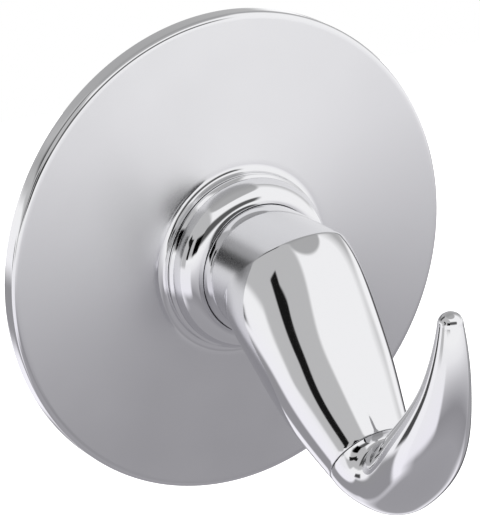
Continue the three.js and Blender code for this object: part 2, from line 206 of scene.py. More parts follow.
class FixingSizes(PropertyGroup):
    """Bracket, screws, plugs, grub screw and stud"""

    plate_radius: length("Plate radius", "Radius of the bracket's disc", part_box("wall_bracket")[1].x)
    plate: length("Plate thickness", "Thickness of the bracket's disc", SCREW_HEAD)
    post_radius: length("Post radius", "Radius of the post", 5 * MM)
    post_chamfer: length("Post chamfer", "Chamfer at the post's end", 0.8 * MM)
    groove: length("Groove", "Depth and half width of the post's groove", 1 * MM)
    weld: length("Weld", "Size of the weld round the post's foot", 0.25 * MM)
    spacing: length("Screw spacing", "Between the two wall screws", 31 * MM)
    screw_radius: length("Screw radius", "Outside of the screw's thread", 1.75 * MM)
    screw_head: length("Screw head", "Radius of the countersunk head", 3.5 * MM)
    screw_pitch: length("Screw pitch", "Pitch of the wood screw's thread", 1.6 * MM)
    screw_thread: length("Screw thread", "Depth of the wood screw's thread", 0.5 * MM)
    screw_tip: length("Screw tip", "Length of the screw's point", 4 * MM)
    hole_gap: length("Hole gap", "Room round the screws in the bracket", 0.3 * MM)
    plug_radius: length("Plug radius", "Outside of the plug's barbs", 3 * MM)
    plug_bore: length("Plug bore", "Radius of the plug's bore", 1.95 * MM)
    plug_length: length("Plug length", "Length of the plug", -out_range("wall_plug_upper")[0])
    plug_collar: length("Plug collar", "Part of the plug without barbs and slit", 7 * MM)
    plug_slit: length("Plug slit", "Width of the plug's slit", 1 * MM)
    barb_pitch: length("Barb pitch", "Distance between the plug's barbs", 2.1 * MM)
    barb: length("Barb", "Depth of the plug's barbs", 0.4 * MM)
    grub_radius: length("Grub radius", "Outside of the grub screw's thread", 1.5 * MM)
    grub_flats: length("Grub flats", "Across the flats of the grub screw's socket", 1.5 * MM)
    grub_socket: length("Grub socket", "Depth of the grub screw's socket", 1.6 * MM)
    grub_pitch: length("Grub pitch", "Pitch of the grub screw", 0.5 * MM)
    grub_thread: length("Grub thread", "Depth of the grub screw's thread", 0.28 * MM)
    grub_out: length("Grub place", "Distance of the grub screw from the wall", GRUB_OUT)
    stud_radius: length("Stud radius", "Outside of the stud's thread", 2.5 * MM)
    stud_pitch: length("Stud pitch", "Pitch of the stud", 0.8 * MM)
    stud_thread: length("Stud thread", "Depth of the stud's thread", 0.45 * MM)
    stud_in_arm: length("Stud in arm", "Length of the stud in the arm", 8 * MM)
    stud_in_tip: length("Stud in tip", "Length of the stud in the horn", 4 * MM)
    clearance: length("Clearance", "Room round a fixing in its hole", 0.2 * MM)


class FinishColours(PropertyGroup):
    """Colours of the five materials"""

    chrome: colour("Chrome", "Polished chrome plate", "E4E4E6")
    zinc: colour("Zinc", "Zinc-plated steel", "B7B5AE")
    stainless: colour("Stainless", "Plain stainless steel", "C4C6C8")
    rubber: colour("Rubber", "Moulded rubber", "1C1C1E")
    nylon: colour("Nylon", "Moulded nylon", "A9ABAD")


class StudioSettings(PropertyGroup):
    """Camera and floor"""

    azimuth: turn("Azimuth", "Camera's place round the hook, to the left of it when negative", -31)
    elevation: turn("Elevation", "Camera's height over the hook", 19)
    distance: length("Distance", "From the camera to the middle of the picture", 0.5)
    target_right: length("Aim right", "Picture's middle, right of the wall face's middle", 2.589 * MM)
    target_up: length("Aim up", "Picture's middle, above the wall face's middle", -1.721 * MM)
    lens: FloatProperty(
        name="Lens", description="Focal length on a 36 mm sensor", default=243.8, unit="CAMERA"
    )
    floor_drop: length("Floor", "How far the floor lies under the hook", 2)
    floor_reach: length("Floor reach", "Half the floor's width", 6)


class WallHookSettings(PropertyGroup):
    """All settings of the wall hook"""

    rosette: PointerProperty(type=RosetteSizes)
    collar: PointerProperty(type=CollarSizes)
    hook: PointerProperty(type=HookSizes)
    fixing: PointerProperty(type=FixingSizes)
    finish: PointerProperty(type=FinishColours)
    studio: PointerProperty(type=StudioSettings)


# Outlines and skins


def rounded(corners, closed=True):
    """An outline through corners of (radius, out, rounding), with long runs divided."""
    points = []
    for index, (radius, out, rounding) in enumerate(corners):
        here = np.array((radius, out))
        if not rounding:
            points.append(here)
            continue
        before = np.array(corners[index - 1][:2]) - here
        after = np.array(corners[(index + 1) % len(corners)][:2]) - here
        before /= np.linalg.norm(before)
        after /= np.linalg.norm(after)
        half = math.acos(max(-1, min(1, before @ after))) / 2
        middle = here + (before + after) / np.linalg.norm(before + after) * rounding / math.sin(half)
        start = here + before * rounding / math.tan(half) - middle
        stop = here + after * rounding / math.tan(half) - middle
        sweep = math.pi - 2 * half
        steps = max(2, round(sweep / ARC_STEP))
        for step in range(steps + 1):
            leaving = math.sin((1 - step / steps) * sweep) / math.sin(sweep)
            coming = math.sin(step / steps * sweep) / math.sin(sweep)
            points.append(middle + start * leaving + stop * coming)
    return divided(points + points[:1] if closed else points)


def divided(points, run=LONGEST_RUN):
    """The same outline with no run longer than the given one."""
    result = [np.array(points[0], float)]
    for point in points[1:]:
        start, stop = result[-1], np.array(point, float)
        reach = np.linalg.norm(stop - start)
        if reach < SHORTEST_RUN:
            continue
        steps = math.ceil(reach / run)
        result += [start + (stop - start) * (step + 1) / steps for step in range(steps)]
    return result


def skin(rings):
    """Points and faces of a skin over rings of points. A lone point closes an end."""
    starts = np.cumsum([0] + [len(ring) for ring in rings])
    sides = max(len(ring) for ring in rings)
    faces = []
    for index in range(len(rings) - 1):
        a, b = int(starts[index]), int(starts[index + 1])
        for j in range(sides):
            k = (j + 1) % sides
            if len(rings[index]) == 1:
                faces.append((a, b + k, b + j))
            elif len(rings[index + 1]) == 1:
                faces.append((a + j, a + k, b))
            else:
                faces.append((a + j, a + k, b + k, b + j))
    return np.concatenate(rings), faces


def turned(outline, sides):
    """Points and faces turned about the hook's axis. The outline runs anticlockwise in (radius, out)."""
    angles = np.linspace(0, 2 * math.pi, sides, endpoint=False)
    circle = np.column_stack((np.cos(angles), np.zeros(sides), np.sin(angles)))
    rings = []
    for radius, out in outline:
        points = circle[:1] * 0 if radius < SHORTEST_RUN else circle * radius
        rings.append(points - (0, out, 0))
    points, faces = skin(rings)
    if np.allclose(outline[0], outline[-1]):
        last = len(points) - sides
        faces = [tuple(i - last if i >= last else i for i in face) for face in faces]
        points = points[:last]
    return points, faces


def tapered_box(bottom, top, foot, mouth):
    """Points and faces of a box between two outs. Foot and mouth are its half sizes (x, z) at each."""
    points = [
        (x * half_x, -out, z * half_z)
        for out, (half_x, half_z) in ((bottom, foot), (top, mouth))
        for x, z in ((-1, -1), (1, -1), (1, 1), (-1, 1))
    ]
    return np.array(points), BOX_FACES


def mesh_object(name, shape):
    points, faces = shape
    mesh = bpy.data.meshes.new(name)
    mesh.from_pydata(np.asarray(points, float).tolist(), [], faces)
    mesh.update()
    obj = bpy.data.objects.new(name, mesh)
    bpy.context.scene.collection.objects.link(obj)
    return obj


def rod(name, corners, run):
    """A fixing turned about the hook's axis, with rings close enough for a thread."""
    return mesh_object(name, turned(divided(corners, run), FIXING_SIDES))


def baked(obj):
    """Turns an object with its modifiers into a plain mesh."""
    bpy.context.view_layer.update()
    evaluated = obj.evaluated_get(bpy.context.evaluated_depsgraph_get())
    mesh = bpy.data.meshes.new_from_object(evaluated)
    obj.modifiers.clear()
    old = obj.data
    obj.data = mesh
    bpy.data.meshes.remove(old)
    mesh.name = obj.name


def cut(obj, *shapes):
    """Cuts closed shapes out of an object."""
    for shape in shapes:
        tool = mesh_object("tool", shape)
        modifier = obj.modifiers.new("Cut", "BOOLEAN")
        modifier.operation = "DIFFERENCE"
        modifier.solver = "EXACT"
        modifier.object = tool
        baked(obj)
        mesh = tool.data
        bpy.data.objects.remove(tool)
        bpy.data.meshes.remove(mesh)


def finish(obj, node, slot, material):
    """Shades a piece, gives it its material and lets it stand for its solid."""
    obj.data.materials.clear()
    obj.data.materials.append(material)
    obj.data.shade_smooth()
    obj.data.set_sharp_from_angle(angle=SHARP_ANGLE)
    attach(obj, BODY_OF[node])
    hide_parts(node)


# The hook's middle line


def along(hook, distance):
    """Out, up and heading at a distance along the middle line, counted from the elbow."""
    out, up, heading, left = COLLAR_FRONT + hook.elbow_ahead, 0.0, -hook.elbow_drop, distance
    bends = (
        (hook.arm_lift, hook.arm_length),
        (hook.bend_turn, hook.bend_length),
        (hook.horn_turn, hook.horn_length),
    )
    for index, (bend, run) in enumerate(bends):
        part = left if index == len(bends) - 1 else min(left, run)
        following = heading + bend * part / run
        radius = run / bend
        out += radius * (math.sin(following) - math.sin(heading))
        up += radius * (math.cos(heading) - math.cos(following))
        heading = following
        left -= part
        if left <= 0:
            break
    return out, up, heading


def tip_end(hook):
    return hook.arm_length + hook.bend_length + hook.horn_length


def girth(hook, distance):
    """The hook's half width, on a smooth curve through the given radii."""
    bend_end = hook.arm_length + hook.bend_length
    rows = (
        (0, hook.arm_start),
        (hook.arm_length / 2, hook.arm_radius),
        (hook.arm_length, hook.seam_radius),
        (hook.arm_length + hook.bend_length / 2, hook.bend_radius),
        (bend_end + hook.horn_length / 4, hook.horn_lower),
        (bend_end + hook.horn_length * 2 / 3, hook.horn_upper),
        (tip_end(hook), hook.horn_tip),
    )
    last = len(rows) - 1
    k = max(i for i in range(last) if i == 0 or rows[i][0] <= distance)

    def slope(a, b):
        return (rows[b][1] - rows[a][1]) / (rows[b][0] - rows[a][0])

    span = rows[k + 1][0] - rows[k][0]
    t = (distance - rows[k][0]) / span
    before = slope(max(k - 1, 0), k + 1) * span
    after = slope(k, min(k + 2, last)) * span
    return (
        rows[k][1] * (2 * t**3 - 3 * t**2 + 1)
        + before * (t**3 - 2 * t**2 + t)
        + rows[k + 1][1] * (3 * t**2 - 2 * t**3)
        + after * (t**3 - t**2)
    )


def ring(place, width, depth=None):
    """A ring square to a heading: half its size along X and, where it differs, in the hook's plane."""
    out, up, heading = place
    angles = np.linspace(0, 2 * math.pi, HOOK_SIDES, endpoint=False)
    lift = (width if depth is None else depth) * np.sin(angles)
    return np.column_stack(
        (width * np.cos(angles), math.sin(heading) * lift - out, up + math.cos(heading) * lift)
    )


def round_ring(hook, distance, inset=0):
    """A ring of the hook's own girth, at a distance along its middle line."""
    return ring(along(hook, distance), girth(hook, distance) - inset)


def seam_place(hook, ahead):
    """A place on the straight line through the seam, "ahead" of it along the arm."""
    out, up, heading = along(hook, hook.arm_length)
    return out + ahead * math.cos(heading), up + ahead * math.sin(heading), heading


def centre(place):
    return np.array(((0.0, -place[0], place[1]),))


def neck_rings(hook):
    """The bored neck, from the bottom of its bore round its back to the collar's front."""
    end = POST_END + hook.bore_end
    edge = 0.3 * MM
    drill_point = 1.5 * MM
    rows = [
        (end, hook.bore),
        (ARM_BACK + edge, hook.bore),
        (ARM_BACK, hook.bore + edge),
        (ARM_BACK, hook.neck_radius - edge),
    ]
    rows += [(out, hook.neck_radius) for out in np.linspace(ARM_BACK + edge, COLLAR_FRONT, NECK_RINGS)]
    return [centre((end + drill_point, 0))] + [ring((out, 0, 0), radius) for out, radius in rows]


def fold_ring(hook):
    """The fold on the neck: its two lines, eased into each other."""
    points = ring((0, 0, 0), hook.neck_radius)
    top = hook.fold_ahead + points[:, 2] * math.tan(hook.fold_tilt)
    side = hook.side_ahead + points[:, 2] * math.tan(hook.side_tilt)
    points[:, 1] = -COLLAR_FRONT - (top + side + np.hypot(top - side, hook.fold_ease)) / 2
    return points


def bezier(points, t):
    a, b, c, d = points
    return a * (1 - t) ** 3 + 3 * b * t * (1 - t) ** 2 + 3 * c * t**2 * (1 - t) + d * t**3


def flank_rings(hook):
    """Two runs of rings: from the collar over the fold, and along the flanks into the round arm."""
    fold = fold_ring(hook)
    step = 0.1 * MM
    end = round_ring(hook, hook.flank_length)
    meeting = round_ring(hook, hook.flank_length + step) - end
    heading = -hook.elbow_drop
    neck_way = np.array((0, -1, 0))
    arm_way = np.array((0, -math.cos(heading), math.sin(heading)))
    # The flanks leave the fold along the arm above, swelling outwards, and along the neck below
    under = np.maximum(-fold[:, 2:] / hook.neck_radius, 0)
    swell = ring((0, 0, heading), hook.flank_swell)
    leaving = (arm_way + swell) * (1 - under) + neck_way * under
    leaving /= np.linalg.norm(leaving, axis=1)[:, None]
    meeting /= np.linalg.norm(meeting, axis=1)[:, None]
    handle = np.linalg.norm(end - fold, axis=1)[:, None] / 3
    front = ring((COLLAR_FRONT, 0, 0), hook.neck_radius)
    before = fold - neck_way * hook.fold_edge
    after = fold + leaving * hook.fold_edge
    edge = before, (before + 2 * fold) / 3, (after + 2 * fold) / 3, after
    flank = fold, fold + leaving * handle, end - meeting * handle, end
    rings = [front + (before - front) * t for t in np.linspace(0, 1, FOLD_RINGS)[1:]]
    rings += [bezier(edge, t) for t in (0.25, 0.5, 0.75, 1)]
    return rings, [bezier(flank, t) for t in np.linspace(0, 1, FLANK_RINGS)[1:-1]]


def smooth(t):
    return t * t * (3 - 2 * t)


def polished(rings):
    """Rings eased along their run, as a wheel leaves a casting. The first ones keep their place."""
    run = np.array(rings)
    eased = run.copy()
    for _ in range(POLISH_ROUNDS):
        eased[1:-1] = (eased[:-2] + 2 * eased[1:-1] + eased[2:]) / 4
    part = smooth(np.minimum(np.arange(len(run)) / POLISH_START, 1))
    return list(run + (eased - run) * part[:, None, None])


def seam_rings(hook, fixing, sign, depth):
    """The seam's rounded edge and stud hole, from the skin inwards: -1 for the arm, 1 for the horn."""
    rings = []
    for angle in np.radians((30, 60, 90)):
        back = hook.seam_gap / 2 + hook.seam_edge * (1 - math.sin(angle))
        inset = hook.seam_edge * (1 - math.cos(angle))
        rings.append(round_ring(hook, hook.arm_length + sign * back, inset))
    hole = fixing.stud_radius + fixing.clearance
    chamfer = 0.3 * MM
    drill_point = 1 * MM
    face = hook.seam_gap / 2
    bottom = depth + fixing.clearance
    for ahead, radius in ((face, hole + chamfer), (face + chamfer, hole), (bottom, hole)):
        rings.append(ring(seam_place(hook, sign * ahead), radius))
    return rings + [centre(seam_place(hook, sign * (bottom + drill_point)))]


# Nodes


def set_inputs(tree, node, inputs):
    """Gives inputs of a node a socket to read or a value to hold."""
    for key, value in inputs.items():
        if isinstance(value, bpy.types.NodeSocket):
            tree.links.new(value, node.inputs[key])
        else:
            node.inputs[key].default_value = value


def add_node(tree, kind, inputs=None, **settings):
    """Adds a node with its settings and inputs."""
    node = tree.nodes.new(kind)
    for name, value in settings.items():
        setattr(node, name, value)
    set_inputs(tree, node, inputs or {})
    return node


def calc(tree, operation, *values):
    return add_node(tree, "ShaderNodeMath", dict(enumerate(values)), operation=operation).outputs[0]


def ranged(tree, value, *ends, **settings):
    """A value moved from one range to another: the first one's ends, then the second one's."""
    return add_node(tree, "ShaderNodeMapRange", dict(enumerate((value, *ends))), **settings).outputs[0]


def blend(tree, part, first, second):
    return add_node(tree, "ShaderNodeMix", {0: part, 2: first, 3: second}, data_type="FLOAT").outputs[0]


def blend_colours(tree, part, first, second):
    return add_node(tree, "ShaderNodeMix", {0: part, 6: first, 7: second}, data_type="RGBA").outputs[2]


def new_group(kind, name, output, inputs):
    """A node group with one output and its named inputs, which are given with their types."""
    tree = bpy.data.node_groups.new(name, kind)
    sockets = [("OUTPUT", *output)] + [("INPUT", *given) for given in inputs]
    for side, label, socket in sockets:
        tree.interface.new_socket(label, in_out=side, socket_type=f"NodeSocket{socket}")
    return tree, add_node(tree, "NodeGroupInput").outputs


RIDGE_SIZES = ("Pitch", "Depth", "From", "To", "Core", "Starts", "Lean")


def ridge_tree():
    """Geometry nodes that press a thread, or barbs with no helix, into a turned rod."""
    sizes = [(name, "Float") for name in RIDGE_SIZES]
    inputs = [("Geometry", "Geometry"), *sizes, ("Material", "Material")]
    tree, given = new_group("GeometryNodeTree", "Turned Ridges", ("Geometry", "Geometry"), inputs)
    do = partial(calc, tree)
    pitch, start, stop, lean = (given[name] for name in ("Pitch", "From", "To", "Lean"))
    place = add_node(tree, "GeometryNodeInputPosition").outputs[0]
    x, y, z = add_node(tree, "ShaderNodeSeparateXYZ", {0: place}).outputs
    out = do("MULTIPLY", y, -1.0)
    radius = do("SQRT", do("ADD", do("MULTIPLY", x, x), do("MULTIPLY", z, z)))
    angle = do("DIVIDE", do("ARCTAN2", z, x), 2 * math.pi)
    phase = do("FRACT", do("SUBTRACT", do("DIVIDE", out, pitch), do("MULTIPLY", angle, given["Starts"])))
    climb = do("DIVIDE", phase, lean)
    fall = do("DIVIDE", do("SUBTRACT", 1.0, phase), do("SUBTRACT", 1.0, lean))
    hollow = do("SUBTRACT", 1.0, do("MINIMUM", climb, fall))
    fade_in = ranged(tree, out, start, do("ADD", start, pitch))
    fade_out = ranged(tree, out, do("SUBTRACT", stop, pitch), stop, 1.0, 0.0)
    depth = do("MULTIPLY", do("MULTIPLY", given["Depth"], hollow), do("MULTIPLY", fade_in, fade_out))
    kept = do("SUBTRACT", 1.0, do("DIVIDE", depth, do("MAXIMUM", radius, 1e-6)))
    inputs = {0: do("MULTIPLY", x, kept), 1: y, 2: do("MULTIPLY", z, kept)}
    moved = add_node(tree, "ShaderNodeCombineXYZ", inputs).outputs[0]
    inputs = {0: radius, 1: given["Core"]}
    outer = add_node(tree, "FunctionNodeCompare", inputs, operation="GREATER_THAN").outputs[0]
    inputs = {"Geometry": given["Geometry"], "Selection": outer, "Position": moved}
    pressed = add_node(tree, "GeometryNodeSetPosition", inputs).outputs[0]
    whole = add_node(tree, "GeometryNodeRealizeInstances", {"Geometry": pressed}).outputs[0]
    inputs = {"Geometry": whole, "Material": given["Material"]}
    coated = add_node(tree, "GeometryNodeSetMaterial", inputs).outputs[0]
    add_node(tree, "NodeGroupOutput", {"Geometry": coated})
    return tree


def press_ridges(obj, material, pitch, depth, span, core, starts=1.0, lean=0.5):
    """Runs the ridge tree on a rod that stands on the hook's axis, and bakes the result."""
    tree = bpy.data.node_groups.get("Turned Ridges") or ridge_tree()
    modifier = obj.modifiers.new("Ridges", "NODES")
    modifier.node_group = tree
    values = dict(zip(RIDGE_SIZES, (pitch, depth, *span, core, starts, lean))) | {"Material": material}
    for socket in tree.interface.items_tree:
        if socket.in_out == "INPUT" and socket.name in values:
            modifier[socket.identifier] = values[socket.name]
    baked(obj)


# Materials

# The range that holds nearly all of a noise's values
NOISE_RANGE = (0.3, 0.7)

# Where the rosette's polish begins and is full, at its rim and at its lip
RIM_POLISH = (34.0 * MM, 34.3 * MM)
LIP_POLISH = (14.2 * MM, 13.7 * MM)


def linear(code):
    """An sRGB hex value as a linear colour."""
    parts = [int(code[i : i + 2], 16) / 255 for i in (0, 2, 4)]
    return tuple(c / 12.92 if c <= 0.04045 else ((c + 0.055) / 1.055) ** 2.4 for c in parts) + (1.0,)


def times(tone, factor):
    return tuple(c * factor for c in tone[:3]) + (1.0,)


def noise(tree, place, size, detail, roughness=0.5):
    """Noise in patches of the given size."""
    inputs = {"Vector": place, "Scale": 1 / size, "Detail": detail, "Roughness": roughness}
    return add_node(tree, "ShaderNodeTexNoise", inputs).outputs[0]


def relief(tree, height, strength, depth):
    inputs = {"Height": height, "Strength": strength, "Distance": depth}
    return add_node(tree, "ShaderNodeBump", inputs).outputs[0]


def shared_material(build):
    """Makes a material, named as the function that gives its inputs, and shares it between the pieces."""

    def material(colours):
        name = build.__name__
        if name not in bpy.data.materials:
            made = bpy.data.materials.new(name)
            made.use_nodes = True
            tree = made.node_tree
            place = add_node(tree, "ShaderNodeTexCoord").outputs["Object"]
            set_inputs(tree, tree.nodes["Principled BSDF"], build(tree, place, colours))
        return bpy.data.materials[name]

    return material


@shared_material
def polished_chrome_plate(tree, place, colours):
    """Bright chrome plate over polished brass: a clear mirror with a trace of polishing haze."""
    # Haze left by the polishing mop, and the mop's slow waves, which bend the mirror image slightly
    haze = noise(tree, place, 9 * MM, 3.0, 0.55)
    waves = noise(tree, place, 6 * MM, 1.0)
    return {
        "Base Color": linear(colours.chrome),
        "Metallic": 1.0,
        "Roughness": ranged(tree, haze, *NOISE_RANGE, 0.03, 0.075),
        "Normal": relief(tree, waves, 0.05, 0.05 * MM),
    }


@shared_material
def satin_chrome_plate(tree, place, colours):
    """Chrome plate over spun brass that was only brushed: a soft sheen that blurs what it mirrors."""
    # Uneven brushing, in patches. The rim's last millimetre and the lip are polished
    patches = noise(tree, place, 12 * MM, 3.0)
    brushed = ranged(tree, patches, *NOISE_RANGE, 0.22, 0.27)
    x, _, z = add_node(tree, "ShaderNodeSeparateXYZ", {0: place}).outputs
    flat = add_node(tree, "ShaderNodeCombineXYZ", {0: x, 2: z}).outputs[0]
    radius = add_node(tree, "ShaderNodeVectorMath", {0: flat}, operation="LENGTH").outputs["Value"]
    polish = calc(tree, "ADD", ranged(tree, radius, *RIM_POLISH), ranged(tree, radius, *LIP_POLISH))
    # The spinning tool's fine rings round the axis
    inputs = {"W": radius, "Scale": 1 / (0.08 * MM), "Detail": 2.0}
    rings = add_node(tree, "ShaderNodeTexNoise", inputs, noise_dimensions="1D").outputs[0]
    return {
        "Base Color": linear(colours.chrome),
        "Metallic": 1.0,
        "Roughness": blend(tree, polish, brushed, 0.06),
        "Normal": relief(tree, rings, 0.04, 0.02 * MM),
    }


@shared_material
def zinc_plated_steel(tree, place, colours):
    """Zinc-plated steel sheet: a dull grey bright coat with cloudy patches and fine rolling lines."""
    base = linear(colours.zinc)
    # Clouds of the passivated coat, and rolling lines across the sheet
    clouds = noise(tree, place, 5 * MM, 4.0, 0.6)
    across, along_sheet = 1 / (0.25 * MM), 1 / (8 * MM)
    inputs = {"Vector": place, "Scale": (across, across, along_sheet)}
    stretched = add_node(tree, "ShaderNodeMapping", inputs).outputs[0]
    lines = noise(tree, stretched, 1.0, 2.0)
    return {
        "Base Color": blend_colours(tree, clouds, times(base, 0.72), base),
        "Metallic": 1.0,
        "Roughness": ranged(tree, clouds, *NOISE_RANGE, 0.5, 0.3),
        "Normal": relief(tree, lines, 0.25, 0.03 * MM),
    }


@shared_material
def plain_stainless_steel(tree, place, colours):
    """Plain stainless steel: rolled threads with a satin sheen and faint drawing marks."""
    # Handling marks, and the grain that drawing leaves
    marks = noise(tree, place, 1.5 * MM, 4.0, 0.65)
    grain = noise(tree, place, 0.2 * MM, 2.0)
    return {
        "Base Color": linear(colours.stainless),
        "Metallic": 1.0,
        "Roughness": ranged(tree, marks, *NOISE_RANGE, 0.2, 0.36),
        "Normal": relief(tree, grain, 0.15, 0.02 * MM),
    }


@shared_material
def moulded_epdm_rubber(tree, place, colours):
    """Moulded EPDM rubber: matt black, slightly greyed where talc stays in the pores."""
    base = linear(colours.rubber)
    # Talc bloom in patches, and pores
    bloom = noise(tree, place, 3 * MM, 5.0, 0.7)
    pores = noise(tree, place, 0.3 * MM, 2.0)
    greyed = ranged(tree, bloom, 0.45, 0.75)
    return {
        "Base Color": blend_colours(tree, greyed, base, times(base, 2.2)),
        "Roughness": ranged(tree, bloom, *NOISE_RANGE, 0.6, 0.85),
        "Normal": relief(tree, pores, 0.4, 0.03 * MM),
    }


@shared_material
def moulded_nylon(tree, place, colours):
    """Moulded nylon: even grey with a waxy sheen and the fine grain of the mould."""
    base = linear(colours.nylon)
    # Flow marks along the mould, and its grain
    streaks = noise(tree, place, 4 * MM, 3.0)
    grain = noise(tree, place, 0.25 * MM, 1.0)
    return {
        "Base Color": blend_colours(tree, streaks, times(base, 0.86), base),
        "IOR": 1.53,
        "Roughness": ranged(tree, streaks, *NOISE_RANGE, 0.42, 0.58),
        "Normal": relief(tree, grain, 0.2, 0.02 * MM),
    }


# Pieces


class WALLHOOK_OT_rosette(Operator):
    """Spins the rosette from one sheet: turned rim, shallow cone, hollow foot and lip"""

    bl_idname = "wall_hook.rosette"
    bl_label = "Rosette"

    def execute(self, context):
        settings = context.scene.wall_hook
        sizes = settings.rosette
        lip = settings.collar.radius
        rim_front = ROSETTE_BACK + sizes.rim_depth
        lip_foot = ROSETTE_FRONT - sizes.lip_rise
        foot = lip + sizes.lip_flare
        rim_top = sizes.radius - sizes.rim_round
        slope = (lip_foot - rim_front) / (rim_top - foot)
        inside = sizes.radius - sizes.sheet
        hollow = []
        for t in np.linspace(0, 1, HOLLOW_STEPS):
            radius = foot + (lip - foot) * (1 - (1 - t) ** 2)
            hollow.append((radius, lip_foot + sizes.lip_rise * sizes.lip_hollow * t**2, 0))
        outline = rounded(
            [
                (sizes.radius, ROSETTE_BACK, sizes.edge),
                (sizes.radius, rim_front - sizes.rim_round * slope, sizes.rim_round),
                *hollow,
                (lip, ROSETTE_FRONT, sizes.edge),
                (sizes.lip_hole, ROSETTE_FRONT, sizes.edge),
                (sizes.lip_hole, ROSETTE_FRONT - sizes.sheet, sizes.edge),
                (lip - sizes.sheet / 2, ROSETTE_FRONT - sizes.sheet, 0),
                (foot - sizes.sheet / 2, lip_foot - sizes.sheet, 0),
                (inside, rim_front - sizes.sheet, sizes.edge),
                (inside, ROSETTE_BACK, sizes.edge),
            ]
        )
        cover = mesh_object("rosette_cover", turned(outline, COVER_SIDES))
        finish(cover, "rosette", "chrome_plate", satin_chrome_plate(settings.finish))
        return {"FINISHED"}


class WALLHOOK_OT_collar(Operator):
    """Turns the collar's bead ring with its spigot, band, dome and O-ring groove"""

    bl_idname = "wall_hook.collar"
    bl_label = "Collar"

    def execute(self, context):
        settings = context.scene.wall_hook
        sizes = settings.collar
        band_back = COLLAR_BACK + sizes.spigot
        dome_foot = band_back + sizes.band
        dome_radius = sizes.radius - sizes.step
        nose = sizes.bore + sizes.nose
        dome = []
        for angle in np.linspace(0, math.pi / 2, CURVE_STEPS):
            radius = nose + (dome_radius - nose) * math.cos(angle)
            dome.append((radius, dome_foot + (COLLAR_FRONT - dome_foot) * math.sin(angle), 0))
        groove = COLLAR_FRONT - sizes.groove_back
        groove_bottom = sizes.bore + sizes.groove_depth
        outline = rounded(
            [
                (sizes.bore, COLLAR_BACK, sizes.edge),
                (sizes.spigot_radius, COLLAR_BACK, sizes.edge),
                (sizes.spigot_radius, band_back, 0),
                (sizes.radius, band_back, sizes.edge),
                (sizes.radius, dome_foot - sizes.step, sizes.edge),
                *dome,
                (sizes.bore, COLLAR_FRONT, sizes.edge),
                (sizes.bore, groove + sizes.groove, 0),
                (groove_bottom, groove + sizes.groove, 0),
                (groove_bottom, groove - sizes.groove, 0),
                (sizes.bore, groove - sizes.groove, 0),
            ]
        )
        collar = mesh_object("collar_bead", turned(outline, COVER_SIDES))
        finish(collar, "collar_ring", "chrome_plate", polished_chrome_plate(settings.finish))
        return {"FINISHED"}


class WALLHOOK_OT_arm(Operator):
    """Lofts the cast arm: a bored neck that folds into the tapering arm, up to the seam"""

    bl_idname = "wall_hook.arm"
    bl_label = "Hook Arm"

    def execute(self, context):
        settings = context.scene.wall_hook
        hook, fixing = settings.hook, settings.fixing
        last = hook.arm_length - hook.seam_gap / 2 - hook.seam_edge
        fold, flank = flank_rings(hook)
        taper = [round_ring(hook, distance) for distance in np.linspace(hook.flank_length, last, ARM_RINGS)]
        rings = neck_rings(hook) + fold + polished(flank + taper)
        rings += seam_rings(hook, fixing, -1, fixing.stud_in_arm)
        arm = mesh_object("arm_casting", skin(rings))
        grub = fixing.grub_radius + fixing.clearance
        spare = 3 * MM
        reach = hook.neck_radius + spare
        points, faces = turned([(0, 0), (grub, 0), (grub, reach), (0, reach)], FIXING_SIDES)
        cut(arm, (points @ np.array(GRUB_TURN) - np.array((0, fixing.grub_out, 0)), faces))
        finish(arm, "hook_arm", "chrome_plate", polished_chrome_plate(settings.finish))
        return {"FINISHED"}


class WALLHOOK_OT_horn(Operator):
    """Lofts the hook's tip: the bend past the seam and the upturned horn with its round end"""

    bl_idname = "wall_hook.horn"
    bl_label = "Hook Tip"

    def execute(self, context):
        settings = context.scene.wall_hook
        hook, fixing = settings.hook, settings.fixing
        rings = seam_rings(hook, fixing, 1, fixing.stud_in_tip)[::-1]
        first = hook.arm_length + hook.seam_gap / 2 + hook.seam_edge
        end = tip_end(hook)
        for distance in np.linspace(first, end, HORN_RINGS):
            bent = min(max((distance - hook.arm_length) / hook.bend_length, 0), 1)
            flatness = 1 + (hook.horn_flatness - 1) * smooth(bent)
            width = girth(hook, distance)
            rings.append(ring(along(hook, distance), width, width * flatness))
        for angle in TIP_ANGLES:
            width = hook.horn_tip * math.cos(angle)
            place = along(hook, end + hook.horn_tip * math.sin(angle))
            rings.append(ring(place, width, width * hook.horn_flatness))
        rings.append(centre(along(hook, end + hook.horn_tip)))
        horn = mesh_object("horn_casting", skin(rings))
        finish(horn, "hook_tip", "chrome_plate", polished_chrome_plate(settings.finish))
        return {"FINISHED"}


